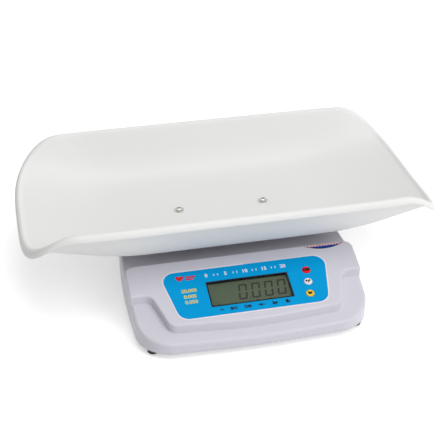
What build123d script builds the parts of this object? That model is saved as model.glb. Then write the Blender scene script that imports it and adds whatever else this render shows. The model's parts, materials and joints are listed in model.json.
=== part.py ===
from build123d import *
import math
import os

# Baby weighing scale: a trough tray on a load frame over a low base with a sloped console.
# Millimetres, +Z up, the console faces -Y, the floor is z = 0, and X runs along the tray.

# tray
tray_length = 550.0
tray_width = 284.8
tray_depth = 63.5           # flat floor to the crest of the long walls
tray_end_rise = 20.9        # flat floor to the crest at the corners of the two open ends
tray_end_dip = 10.6         # how much lower the ends are at their middle
tray_wall = 3.0
tray_gap = 7.7              # between the console's back edge and the tray's floor
roll_width = 8.0            # rolled rim, outward
roll_drop = 9.4             # rolled rim, downward
plan_n, plan_m = 10.6, 3.74 # roundness of the plan outline along x and y
rim_start, rim_end = 0.738, 1.028   # shares of the half length between which the rim falls
rim_power, rim_ease = 1.24, 0.75    # how late it falls, and how softly it starts and ends
flat_half_y = 80.0          # half width of the flat floor
flat_half_x = 130.0         # half length of the flat floor
bowl_power = 2.6            # steepness of the long walls
end_power = 1.9             # steepness of the ends
ring_count = 120            # points round the tray's outline
tray_screw_x = 58.65        # the two tray screws, on the long centreline

# base
base_width = 300.0
front_reach = 221.4         # tray centre to the front of the skirt
rear_reach = 108.0          # tray centre to the back wall
top_z = 67.4                # back edge of the console, its highest line
foot_height = 8.5           # floor to the underside of the base
step_reach = 104.3          # tray centre to the crease where the console begins
ledge_depth = 15.2          # skirt's front to the console's front edge
notch_depth = 54.7          # console's front edge back to the shoulder above the front corners
notch_inset = 26.0          # base's side to where the shoulder turns forward
console_inset = 42.0        # base's side to the end of the console's front edge
slope = 16.45               # console slope, degrees
wall = 2.5
corner_radius = 46.0
rear_radius = 40.0
side_bow = 1060.0           # radius of the bowed sides
knee_out, knee_reach = 3.7, 61.0    # where the lines that touch a side's bow meet
front_taper, rear_taper = 3.6, 21.5     # how much narrower the base is at its ends
console_corner = 11.0
console_edge = 2.0
edge_round = 4.0
front_bow = 7.0             # how far the skirt's front bulges at its middle
bow_radius = 1000.0
ledge_drop = 12.0           # step from the console down to the ledge and to the flat deck behind it
console_bow = 7.4
notch_radius = 12.0
cover_thick = 2.5

# fits
slip = 0.3                  # pieces that slide or drop in
seat = 0.05                 # screws in their holes
air = 3.0                   # load pillars in the openings of the top

# console pieces, placed on the slope below the crease
lcd_down = 60.9
lcd_width, lcd_height = 104.5, 38.5
label_top_margin, label_low_margin = 30.3, 15.5      # beyond the red key's centre
label_top, label_low = -19.9, -94.3
label_thick = 0.4
crescent_inset, crescent_length, crescent_height, crescent_thick = 9.0, 56.5, 7.8, 0.3
crescent_down = 2.8
label_radius = 15.0
window_thick = 2.0
frame_thick = 3.5
frame_border = 5.0
glass_thick = 2.8
light_thick = 3.0
board_thick = 1.6
board_margin = 17.6
board_half_y = 33.0
key_gap, key_down = 26.15, 41.9
key_pitch, key_lean = 18.7, 2.45
key_radius = 5.2
key_rise = 1.2
key_travel = 0.6
flange_rim, flange_thick = 1.2, 1.5
switch_size = 6.0
board_screw_r = 1.25

# load path
cell_length, cell_width, cell_height = 130.0, 30.0, 22.0
spacer_length, spacer_thick = 30.0, 3.0
plate_margin, plate_width, plate_thick = 17.0, 84.0, 2.5
plate_gap = 3.0             # bosses under the steel plate
carrier_margin, carrier_width, carrier_thick = 9.0, 42.0, 5.0
carrier_head = 2.2
pillar_radius = 10.0
gasket_thick = 3.0
load_travel = 0.8
stop_gap, stop_y = 8.0, 12.0
stop_radius = 3.0
cell_screw_r = 3.0
tray_screw_r = 2.5
washer_radius, washer_thick = 6.8, 1.0
pan_radius, pan_height = 4.7, 2.8

# power
cell_r, cell_len = 7.15, 50.0
well_y = -85.0              # battery well, from the tray centre
well_x = 0.0
well_wall = 1.6
door_thick = 2.2
jack_inset, jack_z = 62.0, 34.0

# feet
front_foot_inset_x, front_foot_inset_y = 19.9, 25.6     # from the base's side and front
rear_foot_inset_x, rear_foot_inset_y = 37.0, 38.0
foot_radius = 7.0
pad_thick = 6.0
pad_round = 2.4
stud_radius = 2.5
insert_wall, insert_boss_wall = 1.5, 2.0

# derived places
tray_y = (front_reach - tray_width / 2) / 2
step_y = tray_y - step_reach
deck_z = top_z - ledge_drop
under_z = top_z + tray_gap
tray_floor_z = under_z + tray_wall
tray_rim_z = tray_floor_z + tray_depth
tray_end_z = tray_floor_z + tray_end_rise
console_reach = front_reach - ledge_depth
notch_reach = console_reach - notch_depth
notch_half = base_width / 2 - notch_inset
console_half = base_width / 2 - console_inset
jack_x = base_width / 2 - jack_inset
key_x = lcd_width / 2 + key_gap
label_top_half, label_low_half = key_x + label_top_margin, key_x + label_low_margin
board_half_x = key_x + board_margin
flange_radius = key_radius + flange_rim
stop_x = cell_length / 2 + stop_gap
carrier_length = 2 * (stop_x + carrier_margin)
plate_length = 2 * (stop_x + plate_margin)
tan_slope = math.tan(math.radians(slope))
cos_slope = math.cos(math.radians(slope))
sin_slope = math.sin(math.radians(slope))
cover_top = foot_height + cover_thick
plate_z = cover_top + plate_gap
cell_z = plate_z + plate_thick + spacer_thick
carrier_z = cell_z + cell_height + spacer_thick
pillar_top = under_z - gasket_thick
panel = Plane(origin=(0, step_y, top_z), x_dir=(1, 0, 0), z_dir=(0, -sin_slope, cos_slope))
key_places = [(key_x - i * key_lean, -key_down - i * key_pitch) for i in range(3)]
frame_low = wall + frame_thick                      # depth of the display frame's underside
board_top = frame_low + glass_thick + light_thick   # depth of the circuit board's face
board_low = board_top + board_thick

os.makedirs("parts", exist_ok=True)


def outline(half_x, half_y):
    """The tray's plan outline, with ring_count points evenly spaced along it."""
    fine = []
    for i in range(2400):
        a = 2 * math.pi * (i + 0.5) / 2400
        c, s = math.cos(a), math.sin(a)
        fine.append((half_x * math.copysign(abs(c) ** (2 / plan_n), c),
                     half_y * math.copysign(abs(s) ** (2 / plan_m), s)))
    run = [0.0]
    for p, q in zip(fine, fine[1:] + fine[:1]):
        run.append(run[-1] + math.dist(p, q))
    points, k = [], 0
    for i in range(ring_count):
        goal = run[-1] * (i + 0.5) / ring_count
        while run[k + 1] < goal:
            k += 1
        p, q = fine[k], fine[(k + 1) % len(fine)]
        t = (goal - run[k]) / (run[k + 1] - run[k])
        points.append((p[0] + (q[0] - p[0]) * t, p[1] + (q[1] - p[1]) * t))
    return points


def rim_height(x, y):
    t = min(max((abs(2 * x / tray_length) - rim_start) / (rim_end - rim_start), 0.0), 1.0)
    along = ((1 - rim_ease) * t + rim_ease * t * t * (3 - 2 * t)) ** rim_power
    across = max(0.0, 1 - (2 * y / tray_width) ** 2)
    return tray_rim_z - (tray_rim_z - tray_end_z) * along - tray_end_dip * across * along


edge_half_x, edge_half_y = tray_length / 2 - roll_width, tray_width / 2 - roll_width
rim_places = outline(edge_half_x, edge_half_y)


def bowl_ring(t):
    """A ring of the bowl's upper surface: t is 0 round the flat floor and 1 at the rolled rim."""
    half_x = flat_half_x + (edge_half_x - flat_half_x) * t
    half_y = flat_half_y + (edge_half_y - flat_half_y) * t
    points = []
    for (x, y), (rx, ry) in zip(outline(half_x, half_y), rim_places):
        side = min(1.0, abs(ry) / edge_half_y) ** 3 * (1 - min(1.0, abs(rx) / edge_half_x) ** 12)
        power = end_power + (bowl_power - end_power) * side
        points.append((x, y, tray_floor_z + (rim_height(rx, ry) - 1.2 - tray_floor_z) * t ** power))
    return points


def under_ring(t):
    """The same ring on the underside, one wall thickness away from the upper surface."""
    near, far = bowl_ring(max(t - 0.01, 0)), bowl_ring(min(t + 0.01, 1))
    points = []
    for p, q, (x, y, z) in zip(near, far, bowl_ring(t)):
        out = math.hypot(q[0] - p[0], q[1] - p[1])
        rise = (q[2] - p[2]) / out if t else 0.0
        ux, uy, down = (q[0] - p[0]) / out, (q[1] - p[1]) / out, tray_wall / math.hypot(1, rise)
        points.append((x + ux * rise * down, y + uy * rise * down, z - down))
    return points


def rim_ring(reach, drop):
    """A ring of the rolled rim: reach is outward from the bowl's edge, drop is below the crest."""
    flat = outline(edge_half_x + reach, edge_half_y + reach)
    return [(x, y, rim_height(rx, ry) - drop) for (x, y), (rx, ry) in zip(flat, rim_places)]


bowl_steps = [0, 0.12, 0.24, 0.36, 0.48, 0.6, 0.7, 0.8, 0.88, 0.95]
roll_section = [(0, 1.2), (1.2, 0.25), (3.0, 0), (5.0, 0.6), (6.8, 2.4), (roll_width - 0.2, 5.0),
                (roll_width, roll_drop - 1), (roll_width - 0.6, roll_drop), (roll_width - 2.4, roll_drop),
                (roll_width - 2.8, 7.0), (4.6, 4.9), (3.5, 3.6), (2.0, 4.3)]
rings = [bowl_ring(t) for t in bowl_steps] + [rim_ring(*place) for place in roll_section]
rings += [under_ring(t) for t in bowl_steps[::-1]]
evenly = [i / ring_count for i in range(ring_count + 1)]
hoops = [Wire([Edge.make_spline([(x, tray_y + y, z) for x, y, z in ring], periodic=True, parameters=evenly)])
         for ring in rings]

with BuildPart() as weighing_tray:
    add(Solid.make_loft(hoops, ruled=True))
    with Locations((-tray_screw_x, tray_y, under_z - 1), (tray_screw_x, tray_y, under_z - 1)):
        Cylinder(tray_screw_r + seat, tray_wall + 2, align=(Align.CENTER, Align.CENTER, Align.MIN),
                 mode=Mode.SUBTRACT)
weighing_tray.part.label = "weighing_tray"
export_step(weighing_tray.part, "parts/weighing_tray.step")

# ------- tray fastenings: screws, washers and soft rings on the two load pillars
with BuildPart() as tray_washers:
    with Locations((-tray_screw_x, tray_y, tray_floor_z), (tray_screw_x, tray_y, tray_floor_z)):
        Cylinder(washer_radius, washer_thick, align=(Align.CENTER, Align.CENTER, Align.MIN))
        Cylinder(tray_screw_r + 2 * seat, washer_thick, align=(Align.CENTER, Align.CENTER, Align.MIN),
                 mode=Mode.SUBTRACT)
tray_washers.part.label = "tray_washers"
export_step(tray_washers.part, "parts/tray_washers.step")

head_z = tray_floor_z + washer_thick
with BuildPart() as tray_screws:
    for x in (-tray_screw_x, tray_screw_x):
        with BuildSketch(Plane.XZ.offset(-tray_y)):
            with BuildLine():
                Polyline((x, pillar_top - 10), (x + tray_screw_r, pillar_top - 10),
                         (x + tray_screw_r, head_z), (x + pan_radius, head_z),
                         (x + pan_radius, head_z + pan_height * 0.45))
                ThreePointArc((x + pan_radius, head_z + pan_height * 0.45),
                              (x + pan_radius * 0.75, head_z + pan_height * 0.86), (x, head_z + pan_height))
                Line((x, head_z + pan_height), (x, pillar_top - 10))
            make_face()
        revolve(axis=Axis((x, tray_y, 0), (0, 0, 1)))
        with Locations((x, tray_y, head_z + pan_height)):
            Box(5.6, 1.0, 2.6, rotation=(0, 0, 20), mode=Mode.SUBTRACT)
            Box(1.0, 5.6, 2.6, rotation=(0, 0, 20), mode=Mode.SUBTRACT)
tray_screws.part.label = "tray_screws"
export_step(tray_screws.part, "parts/tray_screws.step")

with BuildPart() as tray_gaskets:
    with Locations((-tray_screw_x, tray_y, pillar_top), (tray_screw_x, tray_y, pillar_top)):
        Cylinder(pillar_radius + 2, gasket_thick, align=(Align.CENTER, Align.CENTER, Align.MIN))
        Cylinder(tray_screw_r + 1, gasket_thick, align=(Align.CENTER, Align.CENTER, Align.MIN),
                 mode=Mode.SUBTRACT)
tray_gaskets.part.label = "tray_gaskets"
export_step(tray_gaskets.part, "parts/tray_gaskets.step")

# ------- load frame: a steel bar with two pillars that come up through the housing's top
upper_spacer_x = cell_length / 2 - 20
lower_spacer_x = -(cell_length - spacer_length) / 2
upper_screws = [(upper_spacer_x - 5, -8.0), (upper_spacer_x - 5, 8.0)]
lower_screws = [(lower_spacer_x, -8.0), (lower_spacer_x, 8.0)]
low_end = (Align.CENTER, Align.CENTER, Align.MIN)

with BuildPart() as tray_carrier:
    with Locations((0, tray_y, carrier_z)):
        Box(carrier_length, carrier_width, carrier_thick, align=low_end)
    with Locations((-tray_screw_x, tray_y, carrier_z), (tray_screw_x, tray_y, carrier_z)):
        Cylinder(pillar_radius, pillar_top - carrier_z, align=low_end)
    with Locations((-tray_screw_x, tray_y, pillar_top - 14), (tray_screw_x, tray_y, pillar_top - 14)):
        Cylinder(tray_screw_r + seat, 15, align=low_end, mode=Mode.SUBTRACT)
    with Locations(*[(x, tray_y + y, carrier_z - 1) for x, y in upper_screws]):
        Cylinder(cell_screw_r + seat, carrier_thick + 2, align=low_end, mode=Mode.SUBTRACT)
tray_carrier.part.label = "tray_carrier"
export_step(tray_carrier.part, "parts/tray_carrier.step")

with BuildPart() as cell_upper_spacer:
    with Locations((upper_spacer_x, tray_y, cell_z + cell_height)):
        Box(spacer_length, cell_width, spacer_thick, align=low_end)
    with Locations(*[(x, tray_y + y, cell_z + cell_height) for x, y in upper_screws]):
        Cylinder(cell_screw_r + seat, spacer_thick, align=low_end, mode=Mode.SUBTRACT)
cell_upper_spacer.part.label = "cell_upper_spacer"
export_step(cell_upper_spacer.part, "parts/cell_upper_spacer.step")

with BuildPart() as cell_lower_spacer:
    with Locations((lower_spacer_x, tray_y, plate_z + plate_thick)):
        Box(spacer_length, cell_width, spacer_thick, align=low_end)
    with Locations(*[(x, tray_y + y, plate_z + plate_thick) for x, y in lower_screws]):
        Cylinder(cell_screw_r + seat, spacer_thick, align=low_end, mode=Mode.SUBTRACT)
cell_lower_spacer.part.label = "cell_lower_spacer"
export_step(cell_lower_spacer.part, "parts/cell_lower_spacer.step")

with BuildPart() as load_cell:
    with Locations((0, tray_y, cell_z)):
        Box(cell_length, cell_width, cell_height, align=low_end)
    with BuildSketch(Plane.XZ.offset(-tray_y - cell_width)):
        with Locations((-13, cell_z + cell_height / 2), (13, cell_z + cell_height / 2)):
            Circle(cell_height / 2 - 2.2)
        with Locations((0, cell_z + cell_height / 2)):
            Rectangle(26, 6)
    extrude(amount=2 * cell_width, mode=Mode.SUBTRACT)
    with Locations(*[(x, tray_y + y, cell_z - 1) for x, y in lower_screws]):
        Cylinder(cell_screw_r + seat, 14, align=low_end, mode=Mode.SUBTRACT)
    with Locations(*[(x, tray_y + y, cell_z + cell_height - 13) for x, y in upper_screws]):
        Cylinder(cell_screw_r + seat, 14, align=low_end, mode=Mode.SUBTRACT)
load_cell.part.label = "load_cell"
export_step(load_cell.part, "parts/load_cell.step")

upper_head = carrier_z + carrier_thick
with BuildPart() as carrier_screws:
    with Locations(*[(x, tray_y + y, cell_z + cell_height - 12) for x, y in upper_screws]):
        Cylinder(cell_screw_r, upper_head - (cell_z + cell_height - 12), align=low_end)
    with Locations(*[(x, tray_y + y, upper_head) for x, y in upper_screws]):
        Cylinder(cell_screw_r + 1.8, carrier_head, align=low_end)
carrier_screws.part.label = "carrier_screws"
export_step(carrier_screws.part, "parts/carrier_screws.step")

with BuildPart() as cell_screws:
    with Locations(*[(x, tray_y + y, plate_z) for x, y in lower_screws]):
        Cylinder(cell_screw_r, cell_z + 12 - plate_z, align=low_end)
    with Locations(*[(x, tray_y + y, cover_top + 0.6) for x, y in lower_screws]):
        Cylinder(cell_screw_r + 1.8, plate_gap - 0.6, align=low_end)
cell_screws.part.label = "cell_screws"
export_step(cell_screws.part, "parts/cell_screws.step")

# ------- steel plate under the load cell, its screws and the four overload stops
frame_screws = [(x, y) for x in (10 - plate_length / 2, plate_length / 2 - 10)
                for y in (10 - plate_width / 2, plate_width / 2 - 10)]
stop_places = [(x, y) for x in (-stop_x, stop_x) for y in (-stop_y, stop_y)]
with BuildPart() as base_frame:
    with BuildSketch(Plane.XY.offset(plate_z)):
        with Locations((0, tray_y)):
            RectangleRounded(plate_length, plate_width, 6)
        with Locations(*[(x, tray_y + y) for x, y in frame_screws]):
            Circle(1.5 + seat, mode=Mode.SUBTRACT)
        with Locations(*[(x, tray_y + y) for x, y in stop_places]):
            Circle(stop_radius + seat, mode=Mode.SUBTRACT)
        with Locations(*[(x, tray_y + y) for x, y in lower_screws]):
            Circle(cell_screw_r + seat, mode=Mode.SUBTRACT)
    extrude(amount=plate_thick)
base_frame.part.label = "base_frame"
export_step(base_frame.part, "parts/base_frame.step")

with BuildPart() as overload_stops:
    with Locations(*[(x, tray_y + y, plate_z) for x, y in stop_places]):
        Cylinder(stop_radius, carrier_z - load_travel - 0.15 - plate_z, align=low_end)
    for x, y in stop_places:
        with BuildSketch(Plane.XY.offset(plate_z + plate_thick)):
            with Locations((x, tray_y + y)):
                RegularPolygon(5.0, 6)
        extrude(amount=3)
overload_stops.part.label = "overload_stops"
export_step(overload_stops.part, "parts/overload_stops.step")

with BuildPart() as plate_screws:
    with Locations(*[(x, tray_y + y, cover_top + 0.2) for x, y in frame_screws]):
        Cylinder(1.5, plate_gap + plate_thick - 0.2, align=low_end)
    with Locations(*[(x, tray_y + y, plate_z + plate_thick) for x, y in frame_screws]):
        Cylinder(3.0, 2.0, align=low_end)
plate_screws.part.label = "plate_screws"
export_step(plate_screws.part, "parts/plate_screws.step")


# ------- housing: a skirt with bowed sides, a flat deck, and a console that stands above both
def skirt_points(inset):
    half = base_width / 2 - inset
    sag = bow_radius * (1 / math.cos(math.atan(front_bow / half)) - 1)
    tip = tray_y - front_reach - sag + inset
    back = tray_y + rear_reach - inset
    right = [(half - front_taper, tip + front_bow), (half + knee_out, tray_y - knee_reach),
             (half - rear_taper, back)]
    return [(0, tip)] + right + [(-x, y) for x, y in right[::-1]]


def skirt_radii(inset):
    side = [corner_radius - inset, side_bow - inset, rear_radius - inset]
    return [bow_radius] + side + side[::-1]


def console_points(inset):
    half = base_width / 2 + 30
    sag = bow_radius * 0.7 * (1 / math.cos(math.atan(console_bow / console_half)) - 1)
    tip = tray_y - console_reach - sag + inset
    notch = tray_y - notch_reach + inset
    right = [(half, step_y - inset), (half, notch), (notch_half - inset, notch),
             (console_half - inset, tip + console_bow)]
    return right + [(0, tip)] + [(-x, y) for x, y in right[::-1]]


def console_radii(inset):
    side = [0, 0, notch_radius + inset, notch_radius - inset]
    return side + [bow_radius * 0.7] + side[::-1]


def side_view(drop, level, step_down, low):
    crease = step_y + (level - top_z + step_down + drop / cos_slope) / tan_slope
    front = tray_y - front_reach - 10
    back = tray_y + rear_reach + 30
    nose = level - (crease - front) * tan_slope
    return [(back, low), (back, level), (crease, level), (front, nose), (front, low)]


def skirt_form(inset, low):
    with BuildPart() as form:
        with BuildSketch(Plane.XY.offset(low)):
            with BuildLine():
                FilletPolyline(*skirt_points(inset), radius=skirt_radii(inset), close=True)
            make_face()
        extrude(amount=top_z)
        with BuildSketch(Plane.YZ.offset(-base_width)):
            with BuildLine():
                Polyline(*side_view(inset, deck_z - inset, ledge_drop, low), close=True)
            make_face()
        extrude(amount=2 * base_width, mode=Mode.INTERSECT)
    return form


def console_form(inset, low):
    with BuildPart() as form:
        with BuildSketch(Plane.XY.offset(low)):
            with BuildLine():
                FilletPolyline(*skirt_points(inset), radius=skirt_radii(inset), close=True)
            make_face()
            with BuildLine():
                FilletPolyline(*console_points(inset), radius=console_radii(inset), close=True)
            make_face(mode=Mode.INTERSECT)
        extrude(amount=top_z)
        rear_corners = form.edges().filter_by(Axis.Z).sort_by(Axis.Y)[-2:]
        fillet(rear_corners, radius=console_corner - inset)
        with BuildSketch(Plane.YZ.offset(-base_width)):
            with BuildLine():
                Polyline(*side_view(inset, top_z - inset, 0, low), close=True)
            make_face()
        extrude(amount=2 * base_width, mode=Mode.INTERSECT)
    return form


with BuildPart() as outer_skirt:
    add(skirt_form(0, foot_height).part)
    top_faces = outer_skirt.faces().sort_by(Axis.Z)[-1:]
    fillet(outer_skirt.edges().filter_by_position(Axis.Z, foot_height + 0.5, deck_z - 0.5)
           + top_faces[0].edges(), radius=edge_round)
with BuildPart() as outer_console:
    add(console_form(0, foot_height).part)
    fillet(outer_console.edges().filter_by_position(Axis.Z, foot_height + 0.5, top_z + 1),
           radius=console_edge)
outside = outer_skirt.part + outer_console.part
inside = skirt_form(wall, foot_height - 4).part + console_form(wall, foot_height - 4).part
board_screw_places = [(x, -lcd_down + y) for x in (-board_half_x + 5, board_half_x - 5)
                      for y in (-board_half_y + 5, board_half_y - 5)]
side_screw, rear_side_screw, back_screw = base_width / 2 - 15, base_width / 2 - 23, rear_reach - 11
front_screw = front_reach - ledge_depth / 2 - 4.3
case_screws = [(side * x, y) for side in (1, -1) for x, y in
               ((side_screw, -118.0), (rear_side_screw, 20.0), (60.0, back_screw), (60.0, -front_screw))]
pad_top = cover_top + 3

with BuildPart() as bosses:
    with Locations(*[(x, tray_y + y, pad_top) for x, y in case_screws]):
        Cylinder(4.0, top_z, align=low_end)
    with Locations(*[panel.offset(-board_top) * Location((x, y, 0)) for x, y in board_screw_places]):
        Cylinder(3.5, board_top, align=low_end)
    add(outside, mode=Mode.INTERSECT)

with BuildPart() as top_housing:
    add(outside)
    add(inside, mode=Mode.SUBTRACT)
    add(bosses.part)
    with Locations((-tray_screw_x, tray_y, deck_z), (tray_screw_x, tray_y, deck_z)):
        Cylinder(pillar_radius + air + 2, 1.5, align=low_end)
    with Locations((-tray_screw_x, tray_y, deck_z - 10), (tray_screw_x, tray_y, deck_z - 10)):
        Cylinder(pillar_radius + air, 20, align=low_end, mode=Mode.SUBTRACT)
    with Locations(*[(x, tray_y + y, pad_top - 1) for x, y in case_screws]):
        Cylinder(1.5 + seat, 5.5, align=low_end, mode=Mode.SUBTRACT)
    with Locations(*[panel.offset(-board_top - 1) * Location((x, y, 0)) for x, y in board_screw_places]):
        Cylinder(board_screw_r + seat, 7, align=low_end, mode=Mode.SUBTRACT)
    with BuildSketch(panel.offset(2)):
        with Locations((0, -lcd_down)):
            Rectangle(lcd_width + 2 * slip, lcd_height + 2 * slip)
        with Locations(*key_places):
            Circle(key_radius + slip)
    extrude(amount=-wall - 4, mode=Mode.SUBTRACT)
    with Locations(Plane(origin=(jack_x, tray_y + rear_reach + 2, jack_z), z_dir=(0, -1, 0))):
        Cylinder(4.3, 10, mode=Mode.SUBTRACT)
top_housing.part.label = "top_housing"
export_step(top_housing.part, "parts/top_housing.step")

# ------- label on the slope, its window and the crescent sticker at the crease's right end
with BuildPart() as front_label:
    with BuildSketch(panel):
        with BuildLine():
            FilletPolyline((-label_top_half, label_top), (label_top_half, label_top),
                           (label_low_half, label_low), (-label_low_half, label_low),
                           radius=label_radius, close=True)
        make_face()
        with Locations((0, -lcd_down)):
            Rectangle(lcd_width + 2 * slip, lcd_height + 2 * slip, mode=Mode.SUBTRACT)
        with Locations(*key_places):
            Circle(key_radius + 1.5 * slip, mode=Mode.SUBTRACT)
    extrude(amount=label_thick)
front_label.part.label = "front_label"
export_step(front_label.part, "parts/front_label.step")

with BuildPart() as display_window:
    with BuildSketch(panel.offset(label_thick - window_thick)):
        with Locations((0, -lcd_down)):
            Rectangle(lcd_width, lcd_height)
    extrude(amount=window_thick)
display_window.part.label = "display_window"
export_step(display_window.part, "parts/display_window.step")

with BuildPart() as display_frame:
    with BuildSketch(panel.offset(-frame_low)):
        with Locations((0, -lcd_down)):
            Rectangle(lcd_width + 2 * frame_border, lcd_height + 2 * frame_border)
    extrude(amount=frame_thick)
    with BuildSketch(panel.offset(-wall)):
        with Locations((0, -lcd_down)):
            Rectangle(lcd_width, lcd_height)
    extrude(amount=wall + label_thick - window_thick)
    with BuildSketch(panel.offset(-frame_low - 1)):
        with Locations((0, -lcd_down)):
            Rectangle(lcd_width - 3, lcd_height - 3)
    extrude(amount=frame_thick + wall + 1, mode=Mode.SUBTRACT)
display_frame.part.label = "display_frame"
export_step(display_frame.part, "parts/display_frame.step")

with BuildPart() as display_glass:
    with BuildSketch(panel.offset(-frame_low - glass_thick)):
        with Locations((0, -lcd_down)):
            Rectangle(lcd_width + 2, lcd_height + 4)
    extrude(amount=glass_thick)
display_glass.part.label = "display_glass"
export_step(display_glass.part, "parts/display_glass.step")

with BuildPart() as display_backlight:
    with BuildSketch(panel.offset(-board_top)):
        with Locations((0, -lcd_down)):
            Rectangle(lcd_width + 2, lcd_height + 4)
    extrude(amount=light_thick)
display_backlight.part.label = "display_backlight"
export_step(display_backlight.part, "parts/display_backlight.step")

crescent_end = base_width / 2 - crescent_inset
crescent_start, crescent_top = crescent_end - crescent_length, -crescent_down
with BuildPart() as corner_label:
    with BuildSketch(panel):
        with BuildLine():
            Line((crescent_start, crescent_top), (crescent_end, crescent_top))
            ThreePointArc((crescent_end, crescent_top),
                          (crescent_start + crescent_length / 2, crescent_top - crescent_height),
                          (crescent_start, crescent_top))
        make_face()
    extrude(amount=crescent_thick)
corner_label.part.label = "corner_label"
export_step(corner_label.part, "parts/corner_label.step")

# ------- circuit board with its parts, switches and screws
with BuildPart() as main_board:
    with BuildSketch(panel.offset(-board_low)):
        with Locations((0, -lcd_down)):
            RectangleRounded(2 * board_half_x, 2 * board_half_y, 3)
        with Locations(*board_screw_places):
            Circle(board_screw_r + seat, mode=Mode.SUBTRACT)
    extrude(amount=board_thick)
main_board.part.label = "main_board"
export_step(main_board.part, "parts/main_board.step")

board_blocks = [(-30, -52, 12, 12, 1.6), (5, -70, 10, 7, 1.6), (30, -48, 8, 8, 4.0), (-80, -50, 8, 6, 5.0),
                (62, -76, 7, 7, 5.0), (-55, -76, 14, 5, 3.0)]
with BuildPart() as board_parts:
    for x, y, w, h, tall in board_blocks:
        with BuildSketch(panel.offset(-board_low)):
            with Locations((x, y)):
                Rectangle(w, h)
        extrude(amount=-tall)
board_parts.part.label = "board_parts"
export_step(board_parts.part, "parts/board_parts.step")

switch_height, plunger = 3.5, 1.2
with BuildPart() as key_switches:
    with BuildSketch(panel.offset(-board_top)):
        with Locations(*key_places):
            Rectangle(switch_size, switch_size)
    extrude(amount=switch_height)
    with BuildSketch(panel.offset(-board_top + switch_height)):
        with Locations(*key_places):
            Circle(1.75)
    extrude(amount=plunger)
key_switches.part.label = "key_switches"
export_step(key_switches.part, "parts/key_switches.step")

with BuildPart() as board_screws:
    with Locations(*[panel.offset(-board_low) * Location((x, y, 0)) for x, y in board_screw_places]):
        Cylinder(board_screw_r, board_thick + 5, align=low_end)
    with Locations(*[panel.offset(-board_low - 1.6) * Location((x, y, 0)) for x, y in board_screw_places]):
        Cylinder(2.4, 1.6, align=low_end)
board_screws.part.label = "board_screws"
export_step(board_screws.part, "parts/board_screws.step")

# ------- keys: a cap through the slope, a flange under it and a stem down to its switch
stem_low = board_top - switch_height - plunger - key_travel - 0.1
flange_low = wall + 0.3 + flange_thick
for name, (x, y) in zip(("key_red", "key_white", "key_yellow"), key_places):
    with BuildPart() as key:
        with BuildSketch(panel.offset(-flange_low)):
            with Locations((x, y)):
                Circle(key_radius)
        extrude(amount=flange_low + key_rise)
        chamfer(key.faces().sort_by(Axis((0, 0, 0), (0, -sin_slope, cos_slope)))[-1].edges(), 0.45)
        with BuildSketch(panel.offset(-flange_low)):
            with Locations((x, y)):
                Circle(flange_radius)
        extrude(amount=flange_thick)
        with BuildSketch(panel.offset(-stem_low)):
            with Locations((x, y)):
                Circle(2.0)
        extrude(amount=stem_low - flange_low)
    key.part.label = name
    export_step(key.part, "parts/" + name + ".step")

# ------- bottom cover with the battery well, foot bosses, plate bosses and screw pads
cells_wide = 4
well_inner_x = cell_len + 8.0
well_inner_y = cells_wide * 2 * cell_r + 3.0
door_top = foot_height + door_thick
cell_axis_z = door_top + 0.25 + cell_r
well_top = cell_axis_z + cell_r + 0.4
front_foot = (base_width / 2 - front_foot_inset_x, front_foot_inset_y - front_reach)
rear_foot = (base_width / 2 - rear_foot_inset_x, rear_reach - rear_foot_inset_y)
foot_places = {"front_left": (-front_foot[0], front_foot[1]), "front_right": front_foot,
               "rear_left": (-rear_foot[0], rear_foot[1]), "rear_right": rear_foot}
foot_boss_top = cover_top + 8
insert_radius = stud_radius + insert_wall

with BuildPart() as bottom_cover:
    with BuildSketch(Plane.XY.offset(foot_height)):
        with BuildLine():
            FilletPolyline(*skirt_points(wall + slip), radius=skirt_radii(wall + slip), close=True)
        make_face()
    extrude(amount=cover_thick)
    with Locations(*[(x, tray_y + y, cover_top) for x, y in case_screws]):
        Cylinder(5.0, pad_top - cover_top, align=low_end)
    with Locations(*[(x, tray_y + y, cover_top) for x, y in frame_screws]):
        Cylinder(5.0, plate_gap, align=low_end)
    with Locations(*[(x, tray_y + y, cover_top) for x, y in foot_places.values()]):
        Cylinder(insert_radius + insert_boss_wall, foot_boss_top - cover_top, align=low_end)
    with Locations((well_x, tray_y + well_y, cover_top)):
        Box(well_inner_x + 2 * well_wall, well_inner_y + 2 * well_wall, well_top + well_wall - cover_top,
            align=low_end)
    with Locations((well_x, tray_y + well_y, foot_height - 1)):
        Box(well_inner_x, well_inner_y, well_top - foot_height + 1, align=low_end, mode=Mode.SUBTRACT)
    with Locations(*[(x, tray_y + y, foot_height - 1) for x, y in case_screws]):
        Cylinder(1.5 + 0.2, 10, align=low_end, mode=Mode.SUBTRACT)
        Cylinder(3.3, 3.7, align=low_end, mode=Mode.SUBTRACT)
    with Locations(*[(x, tray_y + y, cover_top) for x, y in frame_screws]):
        Cylinder(1.5 + seat, 10, align=low_end, mode=Mode.SUBTRACT)
    with Locations(*[(x, tray_y + y, foot_height - 1) for x, y in foot_places.values()]):
        Cylinder(stud_radius + 0.5, 20, align=low_end, mode=Mode.SUBTRACT)
    with Locations(*[(x, tray_y + y, cover_top) for x, y in foot_places.values()]):
        Cylinder(insert_radius, 10, align=low_end, mode=Mode.SUBTRACT)
bottom_cover.part.label = "bottom_cover"
export_step(bottom_cover.part, "parts/bottom_cover.step")

with BuildPart() as case_screw_set:
    with Locations(*[(x, tray_y + y, foot_height + 0.5) for x, y in case_screws]):
        Cylinder(3.0, 2.2, align=low_end)
        Cylinder(1.5, 9.2, align=low_end)
case_screw_set.part.label = "case_screws"
export_step(case_screw_set.part, "parts/case_screws.step")

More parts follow.
